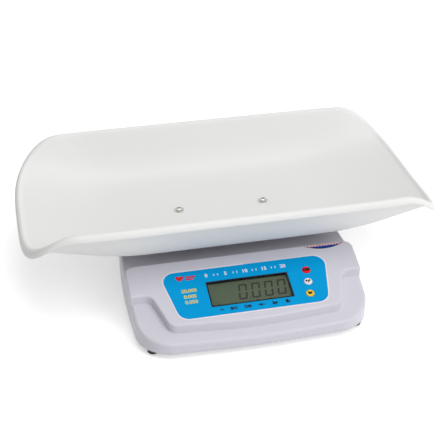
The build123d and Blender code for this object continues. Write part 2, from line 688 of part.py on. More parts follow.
with BuildPart() as battery_door:
    with Locations((well_x, tray_y + well_y, foot_height)):
        Box(well_inner_x - 2 * slip, well_inner_y - 2 * slip, door_thick, align=low_end)
    with Locations((well_x, tray_y + well_y - well_inner_y / 2 + 7, foot_height)):
        Box(16, 5, 1.0, align=low_end, mode=Mode.SUBTRACT)
battery_door.part.label = "battery_door"
export_step(battery_door.part, "parts/battery_door.step")

cell_rows = [tray_y + well_y + (i - (cells_wide - 1) / 2) * (2 * cell_r + 0.5) for i in range(cells_wide)]
with BuildPart() as battery_cells:
    for i, y in enumerate(cell_rows):
        side = 1 if i % 2 else -1
        with BuildSketch(Plane.YZ.offset(well_x - (cell_len - 1.5) / 2)):
            with Locations((y, cell_axis_z)):
                Circle(cell_r)
        extrude(amount=cell_len - 1.5)
        with BuildSketch(Plane.YZ.offset(well_x + side * (cell_len - 1.5) / 2)):
            with Locations((y, cell_axis_z)):
                Circle(2.7)
        extrude(amount=side * 1.5)
battery_cells.part.label = "battery_cells"
export_step(battery_cells.part, "parts/battery_cells.step")

with BuildPart() as battery_contacts:
    for i, y in enumerate(cell_rows):
        for side in (-1, 1):
            face = well_x + side * (well_inner_x / 2 - 0.6)
            nub = 1.5 if side == (1 if i % 2 else -1) else 0
            tip = well_x + side * ((cell_len - 1.5) / 2 + nub + 0.05)
            with Locations((face, y, cell_axis_z)):
                Box(1.2, 11, 11)
            with BuildSketch(Plane.YZ.offset(face)):
                with Locations((y, cell_axis_z)):
                    Circle(2.8)
            extrude(amount=tip - face)
battery_contacts.part.label = "battery_contacts"
export_step(battery_contacts.part, "parts/battery_contacts.step")

# ------- charging inlet in the back wall
inlet_face = tray_y + rear_reach - wall
with BuildPart() as charging_inlet:
    with Locations((jack_x, inlet_face - 7, jack_z)):
        Box(10, 14, 11)
    with BuildSketch(Plane.XZ.offset(-inlet_face)):
        with Locations((jack_x, jack_z)):
            Circle(4.0)
    extrude(amount=-wall - 0.6)
    with BuildSketch(Plane.XZ.offset(-inlet_face + 7)):
        with Locations((jack_x, jack_z)):
            Circle(2.9)
            Circle(1.0, mode=Mode.SUBTRACT)
    extrude(amount=-7 - wall - 2, mode=Mode.SUBTRACT)
charging_inlet.part.label = "charging_inlet"
export_step(charging_inlet.part, "parts/charging_inlet.step")

# ------- feet: a threaded stud in a brass insert, with a rubber pad
with BuildPart() as foot_inserts:
    with Locations(*[(x, tray_y + y, cover_top) for x, y in foot_places.values()]):
        Cylinder(insert_radius, foot_boss_top - cover_top, align=low_end)
        Cylinder(stud_radius + seat, foot_boss_top - cover_top, align=low_end, mode=Mode.SUBTRACT)
foot_inserts.part.label = "foot_inserts"
export_step(foot_inserts.part, "parts/foot_inserts.step")

for name, (x, y) in foot_places.items():
    with BuildPart() as stud:
        with Locations((x, tray_y + y, pad_thick)):
            Cylinder(foot_radius - 1.5, foot_height - slip - pad_thick, align=low_end)
            Cylinder(stud_radius, foot_boss_top + 4 - pad_thick, align=low_end)
    stud.part.label = "foot_stud_" + name
    export_step(stud.part, "parts/foot_stud_" + name + ".step")
    with BuildPart() as pad:
        with Locations((x, tray_y + y, 0)):
            Cylinder(foot_radius, pad_thick, align=low_end)
        fillet(pad.faces().sort_by(Axis.Z)[0].edges(), pad_round)
    pad.part.label = "foot_pad_" + name
    export_step(pad.part, "parts/foot_pad_" + name + ".step")

# ------- lead from the load cell to the board, inside the housing
lead_r = 1.6
plug_y = step_y - 50 * cos_slope + (board_low + 5) * sin_slope
plug_z = top_z - 50 * sin_slope - (board_low + 5) * cos_slope
lead = [(-25, tray_y - cell_width / 2, cell_z + 8), (-25, tray_y - cell_width / 2 - 14, cell_z + 8),
        (-38, tray_y - 48, cell_z + 5), (-56, tray_y - 68, cell_z + 3), (-70, tray_y - 92, cell_z + 2),
        (-78, tray_y - 112, cell_z + 3), (-80, plug_y + 12, plug_z - 9),
        (-80, plug_y + 6 * sin_slope, plug_z - 6 * cos_slope), (-80, plug_y, plug_z)]
lead_radii = []
for a, b, c in zip(lead, lead[1:], lead[2:]):
    u, v = Vector(b) - Vector(a), Vector(c) - Vector(b)
    lead_radii.append(0.45 * min(u.length, v.length) / math.tan(math.radians(u.get_angle(v)) / 2))
with BuildPart() as cell_cable:
    with BuildLine() as route:
        FilletPolyline(*lead, radius=lead_radii)
    with BuildSketch(Plane(origin=lead[0], z_dir=(0, -1, 0))):
        Circle(lead_r)
    sweep(path=route.line)
cell_cable.part.label = "cell_cable"
export_step(cell_cable.part, "parts/cell_cable.step")
print("lead radii", [round(r, 1) for r in lead_radii], "volume ratio",
      round(cell_cable.part.volume / (math.pi * lead_r ** 2 * sum(e.length for e in route.line.edges())), 4))
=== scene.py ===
import json
import math

import bmesh
import bpy
from mathutils import Matrix, Vector


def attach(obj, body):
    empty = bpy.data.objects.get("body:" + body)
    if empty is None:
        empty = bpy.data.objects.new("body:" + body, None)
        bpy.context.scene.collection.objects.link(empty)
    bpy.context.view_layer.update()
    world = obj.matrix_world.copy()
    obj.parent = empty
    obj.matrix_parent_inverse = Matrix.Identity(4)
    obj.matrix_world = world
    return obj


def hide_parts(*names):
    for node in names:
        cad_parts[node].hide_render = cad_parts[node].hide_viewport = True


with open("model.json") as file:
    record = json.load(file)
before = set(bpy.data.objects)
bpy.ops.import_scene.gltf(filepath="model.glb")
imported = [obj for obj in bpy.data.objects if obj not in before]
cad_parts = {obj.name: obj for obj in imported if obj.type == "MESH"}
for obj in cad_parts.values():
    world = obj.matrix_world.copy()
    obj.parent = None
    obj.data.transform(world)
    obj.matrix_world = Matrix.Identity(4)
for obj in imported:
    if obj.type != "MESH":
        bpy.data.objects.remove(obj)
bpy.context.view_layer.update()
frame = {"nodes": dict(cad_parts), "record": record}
nodes = frame["nodes"]
scene = bpy.context.scene
print("frame loaded,", len(nodes), "nodes")

mm = 0.001

# main planes of the scale
layout = {
    "trayY": 39.5 * mm,       # centre line of the tray
    "creaseY": -64.8 * mm,    # where the flat top turns down into the console
    "topZ": 67.4 * mm,        # flat top of the base
    "slope": math.radians(16.45),
    "floorZ": 78.1 * mm,      # flat floor of the tray
}


# small helpers for meshes and node trees
def feed(tree, socket, value):
    if isinstance(value, bpy.types.NodeSocket):
        tree.links.new(value, socket)
    elif value is not None:
        socket.default_value = value


def addNode(tree, kind, inputs=None, **settings):
    node = tree.nodes.new(kind)
    for name, value in settings.items():
        setattr(node, name, value)
    for name, value in (inputs or {}).items():
        feed(tree, node.inputs[name], value)
    return node


def outOf(tree, kind, inputs=None, **settings):
    # the first output of a new node
    return addNode(tree, kind, inputs, **settings).outputs[0]


def calc(tree, operation, *values):
    node = tree.nodes.new("ShaderNodeMath")
    node.operation = operation
    for socket, value in zip(node.inputs, values):
        feed(tree, socket, value)
    return node.outputs[0]


def joined(tree, x=None, y=None, z=None):
    return outOf(tree, "ShaderNodeCombineXYZ", {"X": x, "Y": y, "Z": z})


def split(tree, vector):
    return addNode(tree, "ShaderNodeSeparateXYZ", {"Vector": vector}).outputs


def moved(tree, geometry, position):
    return outOf(tree, "GeometryNodeSetPosition", {"Geometry": geometry, "Position": position})


def shifted(tree, geometry, offset):
    return outOf(tree, "GeometryNodeTransform", {"Geometry": geometry, "Translation": offset})


def gathered(tree, parts):
    whole = tree.nodes.new("GeometryNodeJoinGeometry")
    for part in parts:
        tree.links.new(part, whole.inputs[0])
    return whole.outputs[0]


def link(piece):
    scene.collection.objects.link(piece)
    return piece


def meshPiece(name, points, faces, material=None):
    mesh = bpy.data.meshes.new(name)
    mesh.from_pydata([tuple(p) for p in points], [], faces)
    if material:
        mesh.materials.append(material)
    mesh.update()
    return link(bpy.data.objects.new(name, mesh))


def evaluatedMesh(piece):
    graph = bpy.context.evaluated_depsgraph_get()
    return bpy.data.meshes.new_from_object(piece.evaluated_get(graph))


def baked(piece):
    # the evaluated shape becomes a plain mesh and the modifiers go
    mesh = evaluatedMesh(piece)
    piece.modifiers.clear()
    piece.data = mesh
    mesh.name = piece.name
    return piece


def geometryTree(name, sockets):
    # sockets: each input's name and its kind
    tree = bpy.data.node_groups.new(name, "GeometryNodeTree")
    tree.interface.new_socket(name="Geometry", in_out="OUTPUT",
                              socket_type="NodeSocketGeometry")
    for socket, kind in {"Geometry": "Geometry", **sockets}.items():
        tree.interface.new_socket(name=socket, in_out="INPUT", socket_type="NodeSocket" + kind)
    return tree, tree.nodes.new("NodeGroupInput").outputs


def closeTree(tree, geometry, material):
    real = outOf(tree, "GeometryNodeRealizeInstances", {"Geometry": geometry})
    painted = outOf(tree, "GeometryNodeSetMaterial", {"Geometry": real, "Material": material})
    tree.links.new(painted, tree.nodes.new("NodeGroupOutput").inputs[0])


def runTree(piece, tree, values):
    # inputs are set by their identifiers before the first evaluation
    modifier = piece.modifiers.new(tree.name, "NODES")
    modifier.node_group = tree
    for item in tree.interface.items_tree:
        if item.in_out == "INPUT" and item.name in values:
            modifier[item.identifier] = values[item.name]
    return baked(piece)


def panelMatrix(lift=0.0):
    # console frame: x along the tray, y up the slope, z out of the face, from the crease
    c, s = math.cos(layout["slope"]), math.sin(layout["slope"])
    return Matrix(((1, 0, 0, 0), (0, c, -s, layout["creaseY"] - s * lift),
                   (0, s, c, layout["topZ"] + c * lift), (0, 0, 0, 1)))


# finishes
noiseSpan = (0.3, 0.7)      # nearly all of a noise's values lie in here
glossScale = 160.0          # patches of gloss
smearScale = 60.0           # patches of gloss on clear plastic


def newFinish(name):
    material = bpy.data.materials.new(name)
    material.use_nodes = True
    tree = material.node_tree
    place = addNode(tree, "ShaderNodeTexCoord").outputs["Object"]
    return material, tree, tree.nodes["Principled BSDF"], place


def addNoise(tree, place, scale, detail):
    inputs = {"Vector": place, "Scale": scale, "Detail": detail}
    return addNode(tree, "ShaderNodeTexNoise", inputs).outputs["Fac"]


def makeFinish(name, color, roughness, spread=0.05, tint=0.02, cloud=14.0,
               grains=((700.0, 0.12, 0.0001),), soften=0.0, **sockets):
    # each grain: (scale, strength, depth)
    material, tree, shader, place = newFinish(name)
    material.diffuse_color = (*color, 1)
    # broad clouds move the colour a little, fine ones the gloss
    clouds = addNoise(tree, place, cloud, 4.0)
    blend = addNode(tree, "ShaderNodeMix", {"Factor": clouds}, data_type="RGBA")
    blend.inputs[6].default_value = [max(0.0, c * (1 - tint)) for c in color] + [1]
    blend.inputs[7].default_value = [min(1.0, c * (1 + tint)) for c in color] + [1]
    feed(tree, shader.inputs["Base Color"], blend.outputs[2])
    gloss = addNode(tree, "ShaderNodeMapRange", {
        "Value": addNoise(tree, place, glossScale, 5.0),
        "From Min": noiseSpan[0], "From Max": noiseSpan[1],
        "To Min": roughness - spread, "To Max": roughness + spread})
    feed(tree, shader.inputs["Roughness"], gloss.outputs["Result"])
    normal = None
    if soften:      # moulded corners and creases look rounder than they are cut
        normal = outOf(tree, "ShaderNodeBevel", {"Radius": soften}, samples=8)
    for scale, strength, depth in grains:
        normal = outOf(tree, "ShaderNodeBump", {
            "Height": addNoise(tree, place, scale, 2.0), "Strength": strength,
            "Distance": depth, "Normal": normal})
    feed(tree, shader.inputs["Normal"], normal)
    for socket, value in sockets.items():
        shader.inputs[socket.replace("_", " ")].default_value = value
    return material


def clearFinish(name, color, roughness, ior):
    material, tree, shader, place = newFinish(name)
    shader.inputs["Base Color"].default_value = (*color, 1)
    shader.inputs["IOR"].default_value = ior
    shader.inputs["Transmission Weight"].default_value = 1.0
    gloss = addNode(tree, "ShaderNodeMapRange", {
        "Value": addNoise(tree, place, smearScale, 3.0),
        "To Min": roughness, "To Max": roughness * 2})
    feed(tree, shader.inputs["Roughness"], gloss.outputs["Result"])
    return material


keyGrain = ((300.0, 0.05, 0.0001),)

trayWhite = makeFinish("trayWhite", (0.80, 0.80, 0.79), 0.48, tint=0.012,
                       grains=((420.0, 0.10, 0.0002), (1900.0, 0.10, 0.00005)), IOR=1.49,
                       Specular_IOR_Level=0.35)
lavenderShell = makeFinish("lavenderShell", (0.60, 0.59, 0.655), 0.33, tint=0.012,
                           grains=((900.0, 0.14, 0.0001), (2600.0, 0.10, 0.00004)),
                           soften=2.0 * mm)
lavenderCover = makeFinish("lavenderCover", (0.50, 0.49, 0.55), 0.50,
                           grains=((900.0, 0.25, 0.0001),))
labelBlue = makeFinish("labelBlue", (0.0, 0.31, 0.66), 0.45, tint=0.02,
                       grains=((2400.0, 0.12, 0.00004),), Specular_IOR_Level=0.05)
labelEdge = makeFinish("labelEdge", (0.82, 0.74, 0.75), 0.4, tint=0.01)
printWhite = makeFinish("printWhite", (0.80, 0.80, 0.80), 0.45)
printBlack = makeFinish("printBlack", (0.006, 0.006, 0.008), 0.6, spread=0.03,
                        Specular_IOR_Level=0.2)
printYellow = makeFinish("printYellow", (0.66, 0.55, 0.03), 0.5, Specular_IOR_Level=0.2)
printRed = makeFinish("printRed", (0.66, 0.008, 0.01), 0.5, Specular_IOR_Level=0.2)
printNavy = makeFinish("printNavy", (0.004, 0.045, 0.27), 0.5, Specular_IOR_Level=0.2)
keyRed = makeFinish("keyRed", (0.90, 0.0, 0.0), 0.35, grains=keyGrain, Specular_IOR_Level=0.2)
keyWhite = makeFinish("keyWhite", (0.80, 0.77, 0.76), 0.30, grains=keyGrain)
keyYellow = makeFinish("keyYellow", (0.86, 0.56, 0.03), 0.35, grains=keyGrain,
                       Specular_IOR_Level=0.2)
displayFace = makeFinish("displayFace", (0.070, 0.093, 0.057), 0.45, tint=0.05, cloud=40.0,
                         grains=((3000.0, 0.10, 0.00002),), Specular_IOR_Level=0.25)
digitInk = makeFinish("digitInk", (0.024, 0.021, 0.018), 0.5, Specular_IOR_Level=0.25)
blackPlastic = makeFinish("blackPlastic", (0.012, 0.011, 0.011), 0.45)
backlightPlastic = makeFinish("backlightPlastic", (0.72, 0.74, 0.68), 0.5)
boardGreen = makeFinish("boardGreen", (0.02, 0.14, 0.06), 0.32, cloud=90.0, tint=0.2)
steel = makeFinish("steel", (0.55, 0.55, 0.56), 0.34, spread=0.1, Metallic=1.0,
                   grains=((500.0, 0.15, 0.0001),))
brightSteel = makeFinish("brightSteel", (0.58, 0.57, 0.54), 0.24, spread=0.06, Metallic=1.0,
                         grains=((260.0, 0.08, 0.0001),))
aluminium = makeFinish("aluminium", (0.66, 0.67, 0.69), 0.36, spread=0.1, Metallic=1.0,
                       grains=((800.0, 0.2, 0.00006),))
brass = makeFinish("brass", (0.60, 0.44, 0.16), 0.3, spread=0.08, Metallic=1.0)
blackRubber = makeFinish("blackRubber", (0.018, 0.018, 0.019), 0.75, spread=0.08,
                         grains=((600.0, 0.4, 0.0002),))
cellWrap = makeFinish("cellWrap", (0.05, 0.09, 0.30), 0.25)
stickerPaper = makeFinish("stickerPaper", (0.80, 0.80, 0.80), 0.5)
leadJacket = makeFinish("leadJacket", (0.10, 0.10, 0.11), 0.55)
clearWindow = clearFinish("clearWindow", (1, 1, 1), 0.02, 1.06)

slotFinish = {
    "tray_plastic": trayWhite, "housing_plastic": lavenderShell,
    "cover_plastic": lavenderCover, "blue_label": labelBlue, "clear_window": clearWindow,
    "dark_plastic": blackPlastic, "display_glass": displayFace, "backlight": backlightPlastic,
    "board_green": boardGreen, "red_plastic": keyRed, "white_plastic": keyWhite,
    "yellow_plastic": keyYellow, "steel": steel, "bright_steel": brightSteel,
    "aluminium": aluminium, "brass": brass, "rubber": blackRubber, "cell_wrap": cellWrap,
    "sticker": stickerPaper, "lead_jacket": leadJacket,
}
slotOf = {row["node"]: row["material_slot"] for row in frame["record"]["subparts"]}
for name, piece in nodes.items():
    piece.data.materials.clear()
    piece.data.materials.append(slotFinish[slotOf[name]])
print("finishes made")


# the tray: rings of an even superellipse outline follow a section drawn once
tray = {
    "Length": 550 * mm, "Width": 284.8 * mm, "Crest": 141.6 * mm,
    "End Crest": 99.0 * mm,       # crest at the corners of the open ends
    "End Dip": 10.6 * mm,         # the ends are this much lower in the middle
    "Floor": layout["floorZ"], "Centre": layout["trayY"],
    "Roll": 8 * mm, "Flat X": 130 * mm, "Flat Y": 80 * mm,
    "Round X": 10.6, "Round Y": 3.74,      # squareness of the outline each way
    "Rim Start": 0.738, "Rim End": 1.028,  # shares of the half length where the crest falls
    "Rim Ease": 0.75, "Rim Power": 1.24,
    "Corner Droop": 0.7, "Droop Power": 1.5,      # how far the roll hangs at the corners
    "Side Power": 2.6, "End Power": 1.9,          # steepness of the bowl
    "Side Reach": 3.0, "End Reach": 12.0,         # how soon each of the two takes over
    "Around": 320, "Material": trayWhite,
}
trayWall = 3 * mm
rollSection = [(0, 1.2), (1.2, 0.25), (3.0, 0), (5.0, 0.6), (6.8, 2.4), (7.8, 5.0), (8.0, 8.4),
               (7.4, 9.4)]        # reach outward and drop below the crest, in mm
floorRings = [-6.0, -2.0]         # reach of the rings on the flat floor, in mm
climbRings = 30                   # rings up the bowl
rollRings = 3                     # rings for each point of the roll
outlineSteps = 1600               # points of the outline before it is evened
weldGap = 1e-6


def smoothRun(points, steps):
    # Catmull-Rom line through the points
    path = [points[0]] + points + [points[-1]]
    out = []
    for a, b, c, d in zip(path, path[1:], path[2:], path[3:]):
        for k in range(steps):
            t = k / steps
            out.append(tuple(0.5 * (2 * q + (r - p) * t + (2 * p - 5 * q + 4 * r - s) * t * t
                                    + (3 * q - p - 3 * r + s) * t ** 3)
                             for p, q, r, s in zip(a, b, c, d)))
    return out + [points[-1]]


def traySection():
    # one point for each ring: share of the climb, reach and drop
    lip = rollSection[0][1]
    widest = max(reach for reach, drop in rollSection)
    rows = [(0.0, reach, lip) for reach in floorRings]
    rows += [(k / climbRings, 0.0, lip) for k in range(climbRings)]
    rows += [(1.0, min(reach, widest), max(drop, 0.0))
             for reach, drop in smoothRun(rollSection, rollRings)]
    section = meshPiece("weighingTray", [(0, 0, 0)] * len(rows), [])
    for k, (name, unit) in enumerate((("climb", 1), ("reach", mm), ("drop", mm))):
        values = section.data.attributes.new(name, "FLOAT", "POINT")
        values.data.foreach_set("value", [row[k] * unit for row in rows])
    return section


def trayTree():
    kinds = {name: "Float" for name in tray}
    kinds.update({"Around": "Int", "Material": "Material"})
    tree, given = geometryTree("traySurface", kinds)

    def op(operation, *values):
        return calc(tree, operation, *values)

    def half(name):
        return op("MULTIPLY", given[name], 0.5)

    def share(value, whole):
        return op("MINIMUM", op("DIVIDE", op("ABSOLUTE", value), whole), 1.0)

    def bent(value, roundness):
        return op("MULTIPLY", op("SIGN", value),
                  op("POWER", op("ABSOLUTE", value), op("DIVIDE", 2.0, roundness)))

    def attribute(name):
        node = addNode(tree, "GeometryNodeInputNamedAttribute", {"Name": name})
        return node.outputs["Attribute"]

    def even(curve):
        return outOf(tree, "GeometryNodeResampleCurve",
                     {"Curve": curve, "Count": given["Around"]})

    def sampled(geometry, value, index, kind="FLOAT_VECTOR"):
        return outOf(tree, "GeometryNodeSampleIndex",
                     {"Geometry": geometry, "Value": value, "Index": index}, data_type=kind)

    def placed(geometry, x, y, z):
        return moved(tree, geometry, joined(tree, x, op("ADD", y, given["Centre"]), z))

    place = outOf(tree, "GeometryNodeInputPosition")
    index = outOf(tree, "GeometryNodeInputIndex")
    circle = outOf(tree, "GeometryNodeCurvePrimitiveCircle",
                   {"Resolution": outlineSteps, "Radius": 1.0})
    x, y = split(tree, place)[:2]
    outline = moved(tree, circle, joined(tree, bent(x, given["Round X"]),
                                         bent(y, given["Round Y"]), 0.0))

    edgeX = op("SUBTRACT", half("Length"), given["Roll"])
    edgeY = op("SUBTRACT", half("Width"), given["Roll"])
    climb, reach, drop = attribute("climb"), attribute("reach"), attribute("drop")

    def halfSize(flat, edge):
        return op("ADD", op("MULTIPLY_ADD", op("SUBTRACT", edge, flat), climb, flat), reach)

    size = joined(tree, halfSize(given["Flat X"], edgeX), halfSize(given["Flat Y"], edgeY), 1.0)
    rings = outOf(tree, "GeometryNodeInstanceOnPoints",
                  {"Points": given["Geometry"], "Instance": outline, "Scale": size})
    rings = even(outOf(tree, "GeometryNodeRealizeInstances", {"Geometry": rings}))
    rim = even(outOf(tree, "GeometryNodeTransform",
                     {"Geometry": outline, "Scale": joined(tree, edgeX, edgeY, 1.0)}))

    # a sheet of faces, one row of points for each ring, closed at its seam
    rows = outOf(tree, "GeometryNodeAttributeDomainSize", {"Geometry": given["Geometry"]})
    rowLength = op("ADD", given["Around"], 1.0)
    sheet = outOf(tree, "GeometryNodeMeshGrid", {"Vertices X": rows, "Vertices Y": rowLength})
    row = op("FLOOR", op("DIVIDE", op("ADD", index, 0.5), rowLength))
    along = op("MODULO", op("SUBTRACT", index, op("MULTIPLY", row, rowLength)), given["Around"])
    ringPoint = op("MULTIPLY_ADD", row, given["Around"], along)
    ringX, ringY = split(tree, sampled(rings, place, ringPoint))[:2]
    rimX, rimY = split(tree, sampled(rim, place, along))[:2]
    climbHere = sampled(given["Geometry"], climb, row, "FLOAT")
    dropHere = sampled(given["Geometry"], drop, row, "FLOAT")

    # height of the crest at this place of the rim
    ramp = op("DIVIDE", op("SUBTRACT", share(rimX, half("Length")), given["Rim Start"]),
              op("SUBTRACT", given["Rim End"], given["Rim Start"]))
    ramp = op("MINIMUM", op("MAXIMUM", ramp, 0.0), 1.0)
    eased = op("MULTIPLY", op("MULTIPLY", ramp, ramp),
               op("SUBTRACT", 3.0, op("MULTIPLY", ramp, 2.0)))
    mixed = op("MULTIPLY_ADD", op("SUBTRACT", eased, ramp), given["Rim Ease"], ramp)
    ended = op("POWER", mixed, given["Rim Power"])
    widthShare = op("DIVIDE", rimY, half("Width"))
    middle = op("MAXIMUM", op("SUBTRACT", 1.0, op("MULTIPLY", widthShare, widthShare)), 0.0)
    fall = op("MULTIPLY_ADD", given["End Dip"], middle,
              op("SUBTRACT", given["Crest"], given["End Crest"]))
    crest = op("SUBTRACT", given["Crest"], op("MULTIPLY", fall, ended))

    # how steeply the bowl climbs to it: long sides steeper than the ends
    sideShare = op("POWER", share(rimY, edgeY), given["Side Reach"])
    endShare = op("POWER", share(rimX, edgeX), given["End Reach"])
    side = op("MULTIPLY", sideShare, op("SUBTRACT", 1.0, endShare))
    steepness = op("MULTIPLY_ADD", op("SUBTRACT", given["Side Power"], given["End Power"]), side,
                   given["End Power"])

    # the roll hangs lower towards the corners
    corner = op("MULTIPLY", ended, op("POWER", op("ABSOLUTE", widthShare), given["Droop Power"]))
    turnedDown = op("MULTIPLY", dropHere,
                    op("MULTIPLY_ADD", corner, given["Corner Droop"], 1.0))
    rise = op("SUBTRACT", op("SUBTRACT", crest, turnedDown), given["Floor"])
    height = op("MULTIPLY_ADD", rise, op("POWER", climbHere, steepness), given["Floor"])
    bowl = placed(sheet, ringX, ringY, height)

    plate = outOf(tree, "GeometryNodeMeshCircle", {"Vertices": given["Around"]},
                  fill_type="NGON")
    plateX, plateY = split(tree, sampled(rings, place, index))[:2]
    plate = placed(plate, plateX, plateY, given["Floor"])

    welded = outOf(tree, "GeometryNodeMergeByDistance",
                   {"Geometry": gathered(tree, (bowl, plate)), "Distance": weldGap})
    smooth = outOf(tree, "GeometryNodeSetShadeSmooth", {"Geometry": welded})
    closeTree(tree, smooth, given["Material"])
    return tree


trayPiece = runTree(traySection(), trayTree(), tray)
shape = bmesh.new()
shape.from_mesh(trayPiece.data)
bmesh.ops.recalc_face_normals(shape, faces=shape.faces)
if sum(f.normal.z * f.calc_area() for f in shape.faces) < 0:      # the sheet looks up
    bmesh.ops.reverse_faces(shape, faces=shape.faces)
shape.to_mesh(trayPiece.data)
shape.free()
wall = trayPiece.modifiers.new("wall", "SOLIDIFY")
wall.thickness = trayWall
wall.offset = -1.0
wall.use_even_offset = True
baked(trayPiece)
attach(trayPiece, "platform")
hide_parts("weighing_tray")
print("tray made,", len(trayPiece.data.polygons), "faces")

printThickness = 0.1 * mm
bendSteps = 7       # points on a line's rounded corner


# printed marks, digits and ribs: a line drawn flat becomes a closed band of even width
def strokeTree():
    tree, given = geometryTree("strokeBand", {
        "Stroke": "Float", "Thickness": "Float", "Slant": "Float", "Corner": "Float",
        "Material": "Material"})
    y = split(tree, outOf(tree, "GeometryNodeInputPosition"))["Y"]
    lean = joined(tree, calc(tree, "MULTIPLY", y, given["Slant"]))
    leaning = outOf(tree, "GeometryNodeSetPosition",
                    {"Geometry": given["Geometry"], "Offset": lean})
    path = outOf(tree, "GeometryNodeMeshToCurve", {"Mesh": leaning})
    turned = outOf(tree, "GeometryNodeFilletCurve",
                   {"Curve": path, "Count": bendSteps, "Radius": given["Corner"],
                    "Limit Radius": True}, mode="POLY")
    upright = outOf(tree, "GeometryNodeSetCurveNormal", {"Curve": turned}, mode="Z_UP")
    section = outOf(tree, "GeometryNodeCurvePrimitiveQuadrilateral",
                    {"Width": given["Stroke"], "Height": given["Thickness"]})
    band = outOf(tree, "GeometryNodeCurveToMesh",
                 {"Curve": upright, "Profile Curve": section, "Fill Caps": True})
    flat = outOf(tree, "GeometryNodeSetShadeSmooth", {"Geometry": band, "Shade Smooth": False})
    closeTree(tree, flat, given["Material"])
    return tree


strokes = strokeTree()


def lineMesh(name, lines):
    # each line is a run of (x, y) in mm; one that ends where it began is a loop
    mesh = bpy.data.meshes.new(name)
    points, edges = [], []
    for line in lines:
        closed = line[0] == line[-1]
        run = line[:-1] if closed else line
        first = len(points)
        points += [(x * mm, y * mm, 0) for x, y in run]
        edges += [(first + k, first + k + 1) for k in range(len(run) - 1)]
        if closed:
            edges.append((first + len(run) - 1, first))
    mesh.from_pydata(points, edges, [])
    return link(bpy.data.objects.new(name, mesh))


def carried(piece, body, replaces=None):
    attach(piece, body)
    if replaces:
        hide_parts(replaces)
    return piece


def drawn(name, lines, values, place, body, replaces=None):
    settings = {"Thickness": printThickness, "Slant": 0.0, "Corner": 0.0}
    settings.update(values)
    piece = runTree(lineMesh(name, lines), strokes, settings)
    piece.data.transform(place)
    return carried(piece, body, replaces)


def solidShape(name, outline, thickness, material, place):
    # a closed flat shape with a little thickness
    count = len(outline)
    points = [(x * mm, y * mm, z) for z in (-thickness / 2, thickness / 2) for x, y in outline]
    faces = [tuple(reversed(range(count))), tuple(range(count, 2 * count))]
    faces += [(k, (k + 1) % count, count + (k + 1) % count, count + k) for k in range(count)]
    piece = meshPiece(name, points, faces, material)
    piece.data.transform(place)
    return piece


def lettering(name, rows, material, place, weight=0.02):
    # numbers from the built-in font, each row (text, x, y, height) in mm, middle at x, y
    shape = bmesh.new()
    for text, x, y, height in rows:
        data = bpy.data.curves.new("row", "FONT")
        data.body = text
        data.size = height * mm
        data.align_x = "CENTER"
        data.align_y = "CENTER"
        data.extrude = printThickness / 2
        data.offset = weight * height * mm
        data.resolution_u = 4
        row = link(bpy.data.objects.new("row", data))
        mesh = evaluatedMesh(row)
        mesh.transform(Matrix.Translation((x * mm, y * mm, 0)))
        shape.from_mesh(mesh)
        bpy.data.objects.remove(row)
    bmesh.ops.remove_doubles(shape, verts=shape.verts, dist=1e-7)
    mesh = bpy.data.meshes.new(name)
    shape.to_mesh(mesh)
    shape.free()
    mesh.materials.clear()
    mesh.materials.append(material)
    mesh.polygons.foreach_set("use_smooth", [False] * len(mesh.polygons))
    mesh.transform(place)
    return link(bpy.data.objects.new(name, mesh))


# the front label's border and ruler, and the window; console coordinates in mm
label = {
    "top": -19.9, "bottom": -94.3, "topHalf": 108.7, "bottomHalf": 93.9, "corner": 15.0,
    "border": 1.5,                # pale line round the blue field
    "borderThickness": 0.44, "borderLift": 0.21, "printLift": 0.41,
    "rulerLeft": -50.0, "rulerStep": 25.0, "numbers": ["0", "5", "10", "15", "20"],
    "numberHeight": 7.6, "rulerY": -30.8, "tickHalf": 1.6, "tickStroke": 0.9,
    "windowHalf": 52.25, "windowTop": -41.65, "windowBottom": -80.15, "windowLine": 0.9,
    # the window's rim width is a black band of painted shade round the inside of the window's
    # opening
    "windowRimAndShade": 1.1, "windowThickness": 2.0, "windowTopLift": 0.4,
}
tuck = 0.05         # neighbouring bands overlap by this much, in mm
onFace = panelMatrix(label["printLift"] * mm)

out = label["border"] / 2 - tuck
sideRun = math.hypot(label["topHalf"] - label["bottomHalf"], label["top"] - label["bottom"])
normalX = (label["top"] - label["bottom"]) / sideRun
normalY = (label["topHalf"] - label["bottomHalf"]) / sideRun
topX = label["topHalf"] + out * (1 + normalY) / normalX
bottomX = label["bottomHalf"] + out * (1 - normalY) / normalX
borderTop, borderBottom = label["top"] + out, label["bottom"] - out
borderLoop = [(0, borderTop), (topX, borderTop), (bottomX, borderBottom),
              (-bottomX, borderBottom), (-topX, borderTop), (0, borderTop)]
drawn("labelBorder", [borderLoop],
      {"Stroke": label["border"] * mm, "Thickness": label["borderThickness"] * mm,
       "Corner": (label["corner"] + out) * mm, "Material": labelEdge},
      panelMatrix(label["borderLift"] * mm), "housing")


def windowEdges(inset):
    return (label["windowHalf"] - inset, label["windowTop"] - inset,
            label["windowBottom"] + inset)


def windowField(inset):
    right, top, bottom = windowEdges(inset)
    return [(-right, bottom), (right, bottom), (right, top), (-right, top)]


def windowLoop(inset):
    right, top, bottom = windowEdges(inset)
    return [(0, top), (right, top), (right, bottom), (-right, bottom), (-right, top), (0, top)]


drawn("windowLine", [windowLoop(-label["windowLine"] / 2)],
      {"Stroke": label["windowLine"] * mm, "Material": printBlack},
      onFace, "housing")

# the window: a clear pane inside a black rim, which is painted shade: it darkens the window's
# edge all round, standing in for the shaded wall of its recess
windowPlace = panelMatrix((label["windowTopLift"] - label["windowThickness"] / 2) * mm)
pane = solidShape("windowPane", windowField(label["windowRimAndShade"]), label["windowThickness"] * mm,
                  clearWindow, windowPlace)
carried(pane, "housing", "display_window")
drawn("windowRimAndShade", [windowLoop(label["windowRimAndShade"] / 2)],
      {"Stroke": label["windowRimAndShade"] * mm, "Thickness": label["windowThickness"] * mm,
       "Material": printBlack}, windowPlace, "housing", "display_window")

